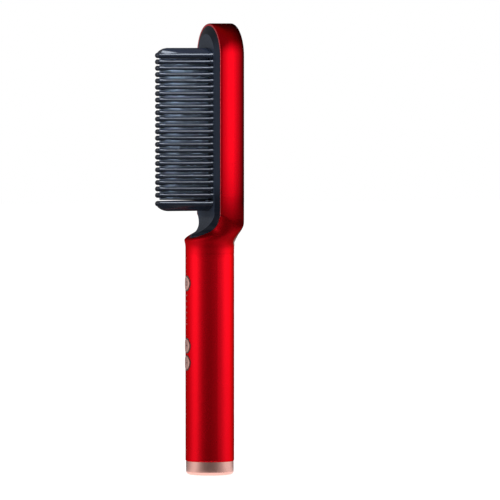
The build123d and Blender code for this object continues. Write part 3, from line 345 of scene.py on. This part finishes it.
# One finish for each material slot: its kind, its light and dark colour, its roughness, and more
FINISHES = {
    "shell_red": (
        lacquer, (0.97, 0.003, 0.014), (0.85, 0.002, 0.010), 0.27,
        {"metallic": 0.97, "coat": 0.03, "shell": True},
    ),
    "panel_red": (lacquer, (0.95, 0.055, 0.075), (0.86, 0.045, 0.06), 0.42, {"metallic": 0.75, "coat": 0.2}),
    "rose_gold": (plated, (0.95, 0.53, 0.46), (0.88, 0.46, 0.40), 0.27, {"stretch": (1, 1, 12), "coat": 0.3}),
    "bezel_dark": (bezel, (0.022, 0.030, 0.048), (0.017, 0.024, 0.040), 0.34, {"specular": 0.10}),
    "guard_dark": (
        moulded, (0.009, 0.012, 0.020), (0.006, 0.008, 0.014), 0.22, {"relief": 0.03, "specular": 0.46},
    ),
    "heated_metal": (plated, (0.58, 0.68, 0.86), (0.50, 0.60, 0.78), 0.44, {"stretch": (1, 12, 1)}),
    "carrier_plastic": (moulded, (0.16, 0.16, 0.17), (0.12, 0.12, 0.13), 0.5, {}),
    "ceramic_white": (moulded, (0.82, 0.80, 0.74), (0.72, 0.70, 0.64), 0.55, {}),
    "mica": (moulded, (0.60, 0.52, 0.38), (0.48, 0.41, 0.30), 0.35, {}),
    "spring_steel": (plated, (0.66, 0.66, 0.67), (0.55, 0.55, 0.56), 0.28, {"stretch": (1, 1, 10)}),
    "screw_steel": (plated, (0.60, 0.60, 0.62), (0.46, 0.46, 0.48), 0.30, {"stretch": (1, 1, 1)}),
    "sensor_metal": (plated, (0.72, 0.72, 0.73), (0.62, 0.62, 0.63), 0.25, {"stretch": (10, 1, 1)}),
    "sleeve_white": (moulded, (0.80, 0.79, 0.75), (0.66, 0.65, 0.62), 0.7, {"grain": 2500.0, "relief": 0.3}),
    "sleeve_brown": (moulded, (0.26, 0.10, 0.04), (0.20, 0.07, 0.03), 0.45, {}),
    "chassis_plastic": (moulded, (0.06, 0.06, 0.065), (0.045, 0.045, 0.05), 0.5, {}),
    "board_green": (moulded, (0.03, 0.20, 0.09), (0.02, 0.15, 0.065), 0.35, {}),
    "component_dark": (moulded, (0.035, 0.035, 0.04), (0.025, 0.025, 0.03), 0.4, {}),
    "component_light": (moulded, (0.72, 0.66, 0.48), (0.62, 0.56, 0.40), 0.35, {}),
    "ferrite": (moulded, (0.15, 0.15, 0.16), (0.10, 0.10, 0.11), 0.6, {"relief": 0.3}),
    "led_lens": (moulded, (0.42, 0.10, 0.10), (0.34, 0.07, 0.07), 0.3, {"coat": 0.2}),
    "collar_dark": (moulded, (0.030, 0.004, 0.006), (0.020, 0.003, 0.004), 0.25, {"coat": 0.4}),
    "icon_dark": (moulded, (0.050, 0.016, 0.013), (0.035, 0.010, 0.009), 0.4, {}),
    "swivel_dark": (moulded, (0.045, 0.045, 0.05), (0.03, 0.03, 0.035), 0.45, {}),
    "contact_brass": (plated, (0.80, 0.60, 0.30), (0.70, 0.50, 0.24), 0.22, {"stretch": (1, 1, 8)}),
}
looks = {}
for name, (make, colour, dark, roughness, settings) in FINISHES.items():
    looks[name] = make(name, colour, dark, roughness, **settings)
slot_of = {entry["node"]: entry["material_slot"] for entry in frame["record"]["subparts"]}
for name, node in nodes.items():
    for slot in node.material_slots:
        slot.material = looks[slot_of[name]]

# ---- Floor: pale from above, clear from below ----
FLOOR_SIZE = 12.0
FLOOR_DROP = 0.2 * MM
FLOOR_GREY = (0.8, 0.8, 0.8, 1.0)
FLOOR_GLOW = 0.7
FLOOR_ROUGHNESS = 0.9
WHITE = (1.0, 1.0, 1.0, 1.0)
floor_material, floor_tree, floor_output = new_material("floor")
floor_shader = floor_tree.nodes.new("ShaderNodeBsdfPrincipled")
floor_shader.inputs["Base Color"].default_value = FLOOR_GREY
floor_shader.inputs["Emission Color"].default_value = WHITE
floor_shader.inputs["Emission Strength"].default_value = FLOOR_GLOW
floor_shader.inputs["Roughness"].default_value = FLOOR_ROUGHNESS
floor_shader.inputs["Specular IOR Level"].default_value = 0.0
floor_side = floor_tree.nodes.new("ShaderNodeNewGeometry")
floor_clear = floor_tree.nodes.new("ShaderNodeBsdfTransparent")
floor_mix = floor_tree.nodes.new("ShaderNodeMixShader")
floor_tree.links.new(floor_side.outputs["Backfacing"], floor_mix.inputs["Fac"])
floor_tree.links.new(floor_shader.outputs["BSDF"], floor_mix.inputs[1])
floor_tree.links.new(floor_clear.outputs["BSDF"], floor_mix.inputs[2])
floor_tree.links.new(floor_mix.outputs["Shader"], floor_output.inputs["Surface"])
bpy.ops.mesh.primitive_plane_add(size=FLOOR_SIZE, location=(0, 0, -FLOOR_DROP))
floor = bpy.context.object
floor.name = "floor"
floor.data.materials.append(floor_material)

# ---- World: white to the camera and in reflections, dimmer as light ----
AMBIENT = 0.45
world = bpy.data.worlds.new("studio")
scene.world = world
world.use_nodes = True
world_tree = world.node_tree
world_tree.nodes.clear()
world_output = world_tree.nodes.new("ShaderNodeOutputWorld")
background = world_tree.nodes.new("ShaderNodeBackground")
ray = world_tree.nodes.new("ShaderNodeLightPath").outputs
seen = maths(world_tree, "MAXIMUM", ray["Is Camera Ray"], ray["Is Glossy Ray"])
seen = maths(world_tree, "MAXIMUM", seen, ray["Is Transmission Ray"])
world_tree.links.new(map_range(world_tree, seen, AMBIENT, 1.0, (0.0, 1.0)), background.inputs["Strength"])
background.inputs["Color"].default_value = WHITE
world_tree.links.new(background.outputs["Background"], world_output.inputs["Surface"])


# ---- Lamps, placed by their angle from the view direction ----
def area_light(name, angle, distance, height, width, tall, power, colour=(1, 1, 1), target=0.14):
    """A lamp at an angle to the right of the camera, seen from the object."""
    data = bpy.data.lights.new(name, "AREA")
    data.shape = "RECTANGLE"
    data.size = width
    data.size_y = tall
    data.energy = power
    data.color = colour
    light = bpy.data.objects.new(name, data)
    scene.collection.objects.link(light)
    turn = math.radians(angle)
    direction = toward * math.cos(turn) + right * math.sin(turn)
    light.location = direction * distance + Vector((0, 0, height))
    aim(light, Vector((0, 0, target)))
    return light


# ---- Reflection cards: only reflections see them; a circle is a radius and a height ----
TENT_RADIUS = 0.30
TENT_TOP = 0.50
ROOF_PEAK = (0.01, 0.7)
UNDER_CIRCLES = ((0.035, 0.150), (TENT_RADIUS, 0.164))
UNDER_LEVEL = 0.04
FLOOR_CIRCLES = ((0.02, 0.001), (TENT_RADIUS, 0.001))
CARD_STEPS = 48
LOW_SHARE = 0.66
LOW_HEIGHTS = (0.0, 120 * MM)
HIGH_SHARE = 0.12
HIGH_HEIGHTS = (300 * MM, 480 * MM)
# Angles from the camera, in degrees, and the glow there: two bright windows, dark before and behind
TENT_LEVELS = (
    (-180, 0.02), (-142, 0.34), (-118, 0.55), (-98, 0.80), (-80, 1.22), (-62, 1.22),
    (-50, 0.72), (-32, 0.31), (-12, 0.18), (8, 0.18), (28, 0.27), (48, 0.54),
    (64, 0.92), (78, 1.24), (108, 1.24), (125, 0.70), (142, 0.30), (165, 0.02),
)
ROOF_LEVELS = ((0, 1.25), (90, 1.25))


def ring_mesh(name, inner, outer):
    """A ring between two circles, each a radius and a height."""
    points = []
    for step in range(CARD_STEPS + 1):
        turn = 2 * math.pi * step / CARD_STEPS - math.pi
        for radius, height in (inner, outer):
            points.append((radius * math.cos(turn), radius * math.sin(turn), height))
    faces = [(2 * step, 2 * step + 2, 2 * step + 3, 2 * step + 1) for step in range(CARD_STEPS)]
    mesh = bpy.data.meshes.new(name)
    mesh.from_pydata(points, [], faces)
    return mesh


def glow_around(tree, levels):
    """A glow that follows the angle from the camera and fades toward the floor and the roof."""
    coords = tree.nodes.new("ShaderNodeTexCoord")
    angle = tree.nodes.new("ShaderNodeTexGradient")
    angle.gradient_type = "RADIAL"
    glow = tree.nodes.new("ShaderNodeValToRGB")
    stops = glow.color_ramp.elements
    while len(stops) < len(levels):
        stops.new(0.5)
    for stop, (degrees, level) in zip(stops, levels):
        stop.position = 0.5 + degrees / 360
        stop.color = (level, level, level, 1.0)
    tree.links.new(coords.outputs["Object"], angle.inputs["Vector"])
    tree.links.new(angle.outputs["Fac"], glow.inputs["Fac"])
    colour = glow.outputs["Color"]
    low = map_range(tree, place(tree, "Z"), LOW_SHARE, 1.0, LOW_HEIGHTS)
    high = map_range(tree, place(tree, "Z"), 1.0, HIGH_SHARE, HIGH_HEIGHTS)
    for share in (low, high):
        colour = mixed(tree, 1.0, colour, share, "MULTIPLY")
    return colour


def ring_card(name, inner, outer, levels, back_level=None):
    """A glowing ring around the object; its other side can have a plain level of its own."""
    material, tree, output = new_material(name)
    emission = tree.nodes.new("ShaderNodeEmission")
    colour = glow_around(tree, levels)
    if back_level is not None:
        side = tree.nodes.new("ShaderNodeNewGeometry")
        colour = mixed(tree, side.outputs["Backfacing"], colour, (back_level, back_level, back_level, 1.0))
    tree.links.new(colour, emission.inputs["Color"])
    tree.links.new(emission.outputs[0], output.inputs["Surface"])
    mesh = ring_mesh(name, inner, outer)
    mesh.materials.append(material)
    card = bpy.data.objects.new(name, mesh)
    scene.collection.objects.link(card)
    card.rotation_euler = (0, 0, math.atan2(toward.y, toward.x))
    card.visible_camera = False
    card.visible_diffuse = False
    card.visible_shadow = False
    card.visible_transmission = False


ring_card("tent", (TENT_RADIUS, 0.0), (TENT_RADIUS, TENT_TOP), TENT_LEVELS)
ring_card("tent_roof", (TENT_RADIUS, TENT_TOP), ROOF_PEAK, ROOF_LEVELS)
ring_card("under_card", *UNDER_CIRCLES, TENT_LEVELS, UNDER_LEVEL)
ring_card("floor_card", *FLOOR_CIRCLES, TENT_LEVELS)

# ---- Two soft fills, and a strip inside the tent that draws the teeth's highlights ----
FILL = {"distance": 1.4, "height": 0.5, "width": 0.7, "tall": 1.2, "power": 7.0}
STRIP = {"distance": 0.17, "height": 0.46, "width": 0.26, "tall": 0.20, "power": 2.1}
FILL_ANGLES = {"fill_right": 70.0, "fill_left": -75.0}
STRIP_ANGLE = 20.0
STRIP_COLOUR = (0.80, 0.88, 1.0)
STRIP_TARGET = 0.21
for name, angle in FILL_ANGLES.items():
    area_light(name, angle, **FILL).visible_glossy = False
strip = area_light("strip", STRIP_ANGLE, colour=STRIP_COLOUR, target=STRIP_TARGET, **STRIP)
strip.visible_camera = False
comb_only = bpy.data.collections.new("comb_only")
for name in ("guard_comb_right", "guard_comb_left", "guard_end_top", "guard_end_bottom", "heating_comb"):
    comb_only.objects.link(nodes[name])
strip.light_linking.receiver_collection = comb_only
